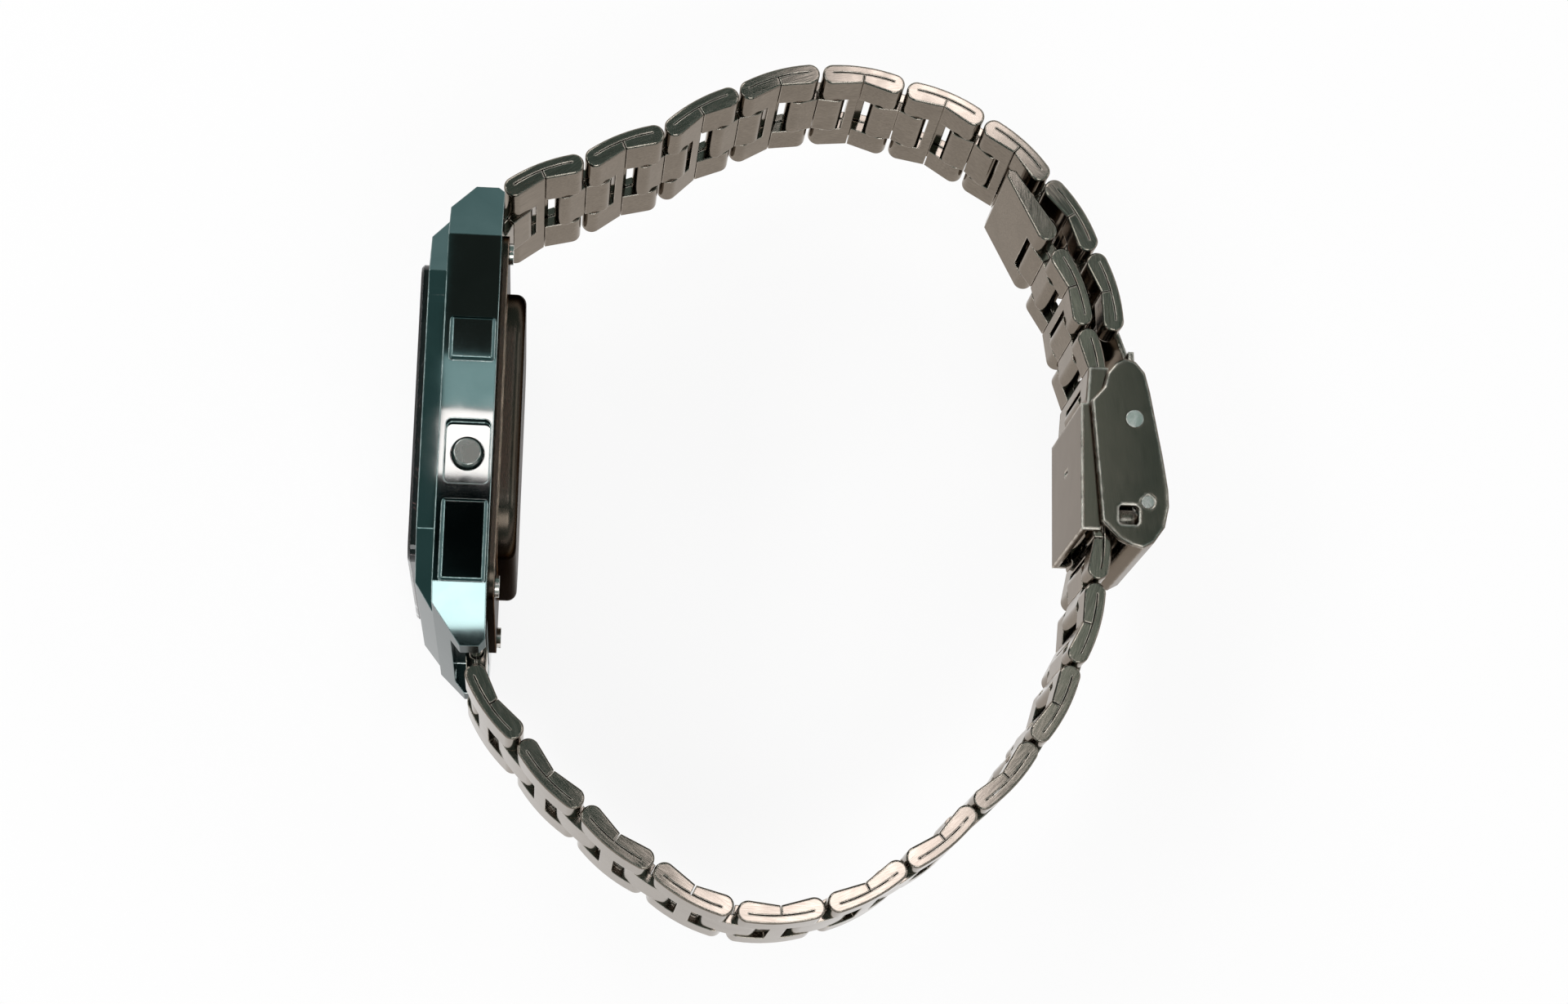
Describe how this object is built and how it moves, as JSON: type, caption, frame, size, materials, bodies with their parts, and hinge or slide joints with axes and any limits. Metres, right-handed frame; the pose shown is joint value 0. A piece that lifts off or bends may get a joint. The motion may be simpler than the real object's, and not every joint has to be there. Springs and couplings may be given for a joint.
{
  "type": "digital wristwatch",
  "caption": "Digital wristwatch lying on its side with its folded-link steel bracelet closed, a fold-over clasp with a hook plate, and side pushers.",
  "frame": {"origin": "centre of the bounding box, at its lowest level, which is the 9 o'clock side of the case", "axes": "+Z from the 9 o'clock side to the 3 o'clock side, +X from 12 o'clock to 6 o'clock, +Y from the crystal to the clasp"},
  "size_m": [0.0702, 0.0596, 0.0332],
  "materials": {
    "case_metal": "dark mirror plating",
    "pusher_chrome": "polished plating",
    "link_steel": "brushed faces and polished edges",
    "clasp_steel": "brushed sheet with polished bevels",
    "small_steel": "turned",
    "back_steel": "satin",
    "battery_steel": "satin",
    "crystal_glass": "clear, polished",
    "display_glass": "grey green liquid crystal",
    "black_rubber": "matte",
    "strip_rubber": "matte",
    "dial_plastic": "matte black",
    "light_plastic": "frosted",
    "module_plastic": "matte",
    "board_plastic": "matte green",
    "buzzer_brass": "plain"
  },
  "bodies": {
    "case": {"back_gasket": "black_rubber", "back_screws": "small_steel", "battery": "battery_steel", "battery_clip": "small_steel", "buzzer_disc": "buzzer_brass", "buzzer_spring": "small_steel", "case_back": "back_steel", "case_shell": "case_metal", "circuit_board": "board_plastic", "contact_strips": "strip_rubber", "crystal": "crystal_glass", "crystal_gasket": "black_rubber", "dial_mask": "dial_plastic", "lcd_panel": "display_glass", "light_panel": "light_plastic", "module_frame": "module_plastic", "processor": "dial_plastic", "pusher_seals": "black_rubber", "pusher_springs": "small_steel", "spring_bar_12": "small_steel", "spring_bar_6": "small_steel"},
    "lower_links_11_12": {"lower_link_11": "link_steel", "lower_link_12": "link_steel", "clasp_base": "clasp_steel", "lock_pin": "small_steel", "cover_rivets": "small_steel"},
    "upper_link_1": {"upper_link_1": "link_steel"},
    "upper_link_2": {"upper_link_2": "link_steel"},
    "upper_link_3": {"upper_link_3": "link_steel"},
    "upper_link_4": {"upper_link_4": "link_steel"},
    "upper_link_5": {"upper_link_5": "link_steel"},
    "upper_link_6": {"upper_link_6": "link_steel"},
    "upper_link_7": {"upper_link_7": "link_steel"},
    "upper_link_8": {"upper_link_8": "link_steel"},
    "upper_link_9": {"upper_link_9": "link_steel"},
    "lower_link_1": {"lower_link_1": "link_steel"},
    "lower_link_2": {"lower_link_2": "link_steel"},
    "lower_link_3": {"lower_link_3": "link_steel"},
    "lower_link_4": {"lower_link_4": "link_steel"},
    "lower_link_5": {"lower_link_5": "link_steel"},
    "lower_link_6": {"lower_link_6": "link_steel"},
    "lower_link_7": {"lower_link_7": "link_steel"},
    "lower_link_8": {"lower_link_8": "link_steel"},
    "lower_link_9": {"lower_link_9": "link_steel"},
    "lower_link_10": {"lower_link_10": "link_steel"},
    "lower_link_13": {"lower_link_13": "link_steel"},
    "lower_link_14": {"lower_link_14": "link_steel"},
    "tail_end": {"tail_end": "link_steel"},
    "clasp_cover": {"clasp_cover": "clasp_steel", "hook_pin": "small_steel"},
    "hook_plate": {"hook_plate": "clasp_steel"},
    "lock_plate": {"lock_plate": "clasp_steel"},
    "pusher_start": {"pusher_start": "pusher_chrome", "clip_start": "small_steel"},
    "pusher_mode": {"pusher_mode": "pusher_chrome", "clip_mode": "small_steel"},
    "pusher_light": {"pusher_light": "pusher_chrome", "clip_light": "small_steel"}
  },
  "joints": [
    {"name": "lower_hinge_1", "type": "hinge", "parent": "case", "child": "lower_link_1", "pos_m": [0.01409, -0.02443, 0.0166], "axis": [0, 0, -1], "range_deg": [0, 3]},
    {"name": "lower_hinge_2", "type": "hinge", "parent": "lower_link_1", "child": "lower_link_2", "pos_m": [0.02045, -0.02169, 0.0166], "axis": [0, 0, -1], "range_deg": [0, 3]},
    {"name": "lower_hinge_3", "type": "hinge", "parent": "lower_link_2", "child": "lower_link_3", "pos_m": [0.02563, -0.01694, 0.0166], "axis": [0, 0, -1], "range_deg": [0, 3]},
    {"name": "lower_hinge_4", "type": "hinge", "parent": "lower_link_3", "child": "lower_link_4", "pos_m": [0.03008, -0.0115, 0.0166], "axis": [0, 0, -1], "range_deg": [0, 3]},
    {"name": "lower_hinge_5", "type": "hinge", "parent": "lower_link_4", "child": "lower_link_5", "pos_m": [0.03353, -0.00538, 0.0166], "axis": [0, 0, -1], "range_deg": [0, 3]},
    {"name": "lower_hinge_6", "type": "hinge", "parent": "lower_link_5", "child": "lower_link_6", "pos_m": [0.03385, 0.00157, 0.0166], "axis": [0, 0, -1], "range_deg": [0, 3]},
    {"name": "lower_hinge_7", "type": "hinge", "parent": "lower_link_6", "child": "lower_link_7", "pos_m": [0.03103, 0.00797, 0.0166], "axis": [0, 0, -1], "range_deg": [0, 3]},
    {"name": "lower_hinge_8", "type": "hinge", "parent": "lower_link_7", "child": "lower_link_8", "pos_m": [0.02667, 0.01347, 0.0166], "axis": [0, 0, -1], "range_deg": [0, 3]},
    {"name": "lower_hinge_9", "type": "hinge", "parent": "lower_link_8", "child": "lower_link_9", "pos_m": [0.02155, 0.01828, 0.0166], "axis": [0, 0, -1], "range_deg": [0, 3]},
    {"name": "lower_hinge_10", "type": "hinge", "parent": "lower_link_9", "child": "lower_link_10", "pos_m": [0.01547, 0.02178, 0.0166], "axis": [0, 0, -1], "range_deg": [0, 3]},
    {"name": "lower_hinge_11", "type": "hinge", "parent": "lower_link_10", "child": "lower_links_11_12", "pos_m": [0.00879, 0.02395, 0.0166], "axis": [0, 0, -1], "range_deg": [0, 3]},
    {"name": "tail_hinge_1", "type": "hinge", "parent": "lower_links_11_12", "child": "lower_link_13", "pos_m": [-0.00524, 0.02438, 0.0166], "axis": [0, 0, 1], "range_deg": [0, 1.5]},
    {"name": "tail_hinge_2", "type": "hinge", "parent": "lower_link_13", "child": "lower_link_14", "pos_m": [-0.01224, 0.02372, 0.0166], "axis": [0, 0, 1], "range_deg": [0, 1.5]},
    {"name": "tail_hinge_3", "type": "hinge", "parent": "lower_link_14", "child": "tail_end", "pos_m": [-0.01895, 0.02166, 0.0166], "axis": [0, 0, 1], "range_deg": [0, 1.5]},
    {"name": "upper_hinge_1", "type": "hinge", "parent": "case", "child": "upper_link_1", "pos_m": [-0.02041, -0.02443, 0.0166], "axis": [0, 0, 1], "range_deg": [0, 6]},
    {"name": "upper_hinge_2", "type": "hinge", "parent": "upper_link_1", "child": "upper_link_2", "pos_m": [-0.02463, -0.01893, 0.0166], "axis": [0, 0, 1], "range_deg": [0, 6]},
    {"name": "upper_hinge_3", "type": "hinge", "parent": "upper_link_2", "child": "upper_link_3", "pos_m": [-0.0276, -0.01256, 0.0166], "axis": [0, 0, 1], "range_deg": [0, 6]},
    {"name": "upper_hinge_4", "type": "hinge", "parent": "upper_link_3", "child": "upper_link_4", "pos_m": [-0.03124, -0.00654, 0.0166], "axis": [0, 0, 1], "range_deg": [0, 6]},
    {"name": "upper_hinge_5", "type": "hinge", "parent": "upper_link_4", "child": "upper_link_5", "pos_m": [-0.03384, -0.00003, 0.0166], "axis": [0, 0, 1], "range_deg": [0, 6]},
    {"name": "upper_hinge_6", "type": "hinge", "parent": "upper_link_5", "child": "upper_link_6", "pos_m": [-0.03374, 0.00696, 0.0166], "axis": [0, 0, 1], "range_deg": [0, 6]},
    {"name": "upper_hinge_7", "type": "hinge", "parent": "upper_link_6", "child": "upper_link_7", "pos_m": [-0.03156, 0.01363, 0.0166], "axis": [0, 0, 1], "range_deg": [0, 6]},
    {"name": "upper_hinge_8", "type": "hinge", "parent": "upper_link_7", "child": "upper_link_8", "pos_m": [-0.02732, 0.01919, 0.0166], "axis": [0, 0, 1], "range_deg": [0, 6]},
    {"name": "upper_hinge_9", "type": "hinge", "parent": "upper_link_8", "child": "upper_link_9", "pos_m": [-0.02162, 0.02328, 0.0166], "axis": [0, 0, 1], "range_deg": [0, 6]},
    {"name": "cover_hinge", "type": "hinge", "parent": "lower_links_11_12", "child": "clasp_cover", "pos_m": [-0.00581, 0.02708, 0.0166], "axis": [0, 0, 1], "range_deg": [0, 90]},
    {"name": "hook_hinge", "type": "hinge", "parent": "clasp_cover", "child": "hook_plate", "pos_m": [0.00099, 0.02808, 0.0166], "axis": [0, 0, -1], "range_deg": [0, 97]},
    {"name": "lock_hinge", "type": "hinge", "parent": "lower_links_11_12", "child": "lock_plate", "pos_m": [-0.00441, 0.02613, 0.0166], "axis": [0, 0, 1], "range_deg": [0, 35]},
    {"name": "pusher_start_slide", "type": "slide", "parent": "case", "child": "pusher_start", "axis": [0, 0, -1], "range_m": [0, 0.0008], "stiffness_N_per_m": 200, "springref_m": -0.004},
    {"name": "pusher_mode_slide", "type": "slide", "parent": "case", "child": "pusher_mode", "axis": [0, 0, 1], "range_m": [0, 0.0008], "stiffness_N_per_m": 200, "springref_m": -0.004},
    {"name": "pusher_light_slide", "type": "slide", "parent": "case", "child": "pusher_light", "axis": [0, 0, 1], "range_m": [0, 0.0008], "stiffness_N_per_m": 200, "springref_m": -0.004}
  ],
  "couplings": [
    {"joint": "lower_hinge_2", "follows": "lower_hinge_1", "ratio": 1},
    {"joint": "lower_hinge_3", "follows": "lower_hinge_1", "ratio": 1},
    {"joint": "lower_hinge_4", "follows": "lower_hinge_1", "ratio": 1},
    {"joint": "lower_hinge_5", "follows": "lower_hinge_1", "ratio": 1},
    {"joint": "lower_hinge_6", "follows": "lower_hinge_1", "ratio": 1},
    {"joint": "lower_hinge_7", "follows": "lower_hinge_1", "ratio": 1},
    {"joint": "lower_hinge_8", "follows": "lower_hinge_1", "ratio": 1},
    {"joint": "lower_hinge_9", "follows": "lower_hinge_1", "ratio": 1},
    {"joint": "lower_hinge_10", "follows": "lower_hinge_1", "ratio": 1},
    {"joint": "lower_hinge_11", "follows": "lower_hinge_1", "ratio": 1},
    {"joint": "tail_hinge_1", "follows": "lower_hinge_1", "ratio": 0.5},
    {"joint": "tail_hinge_2", "follows": "lower_hinge_1", "ratio": 0.5},
    {"joint": "tail_hinge_3", "follows": "lower_hinge_1", "ratio": 0.5},
    {"joint": "upper_hinge_1", "follows": "lower_hinge_1", "ratio": 2},
    {"joint": "upper_hinge_2", "follows": "lower_hinge_1", "ratio": 2},
    {"joint": "upper_hinge_3", "follows": "lower_hinge_1", "ratio": 2},
    {"joint": "upper_hinge_4", "follows": "lower_hinge_1", "ratio": 2},
    {"joint": "upper_hinge_5", "follows": "lower_hinge_1", "ratio": 2},
    {"joint": "upper_hinge_6", "follows": "lower_hinge_1", "ratio": 2},
    {"joint": "upper_hinge_7", "follows": "lower_hinge_1", "ratio": 2},
    {"joint": "upper_hinge_8", "follows": "lower_hinge_1", "ratio": 2},
    {"joint": "upper_hinge_9", "follows": "lower_hinge_1", "ratio": 2},
    {"joint": "cover_hinge", "follows": "lower_hinge_1", "ratio": 30},
    {"joint": "hook_hinge", "follows": "lower_hinge_1", "ratio": 32.333},
    {"joint": "lock_hinge", "follows": "lower_hinge_1", "ratio": 11.667}
  ]
}
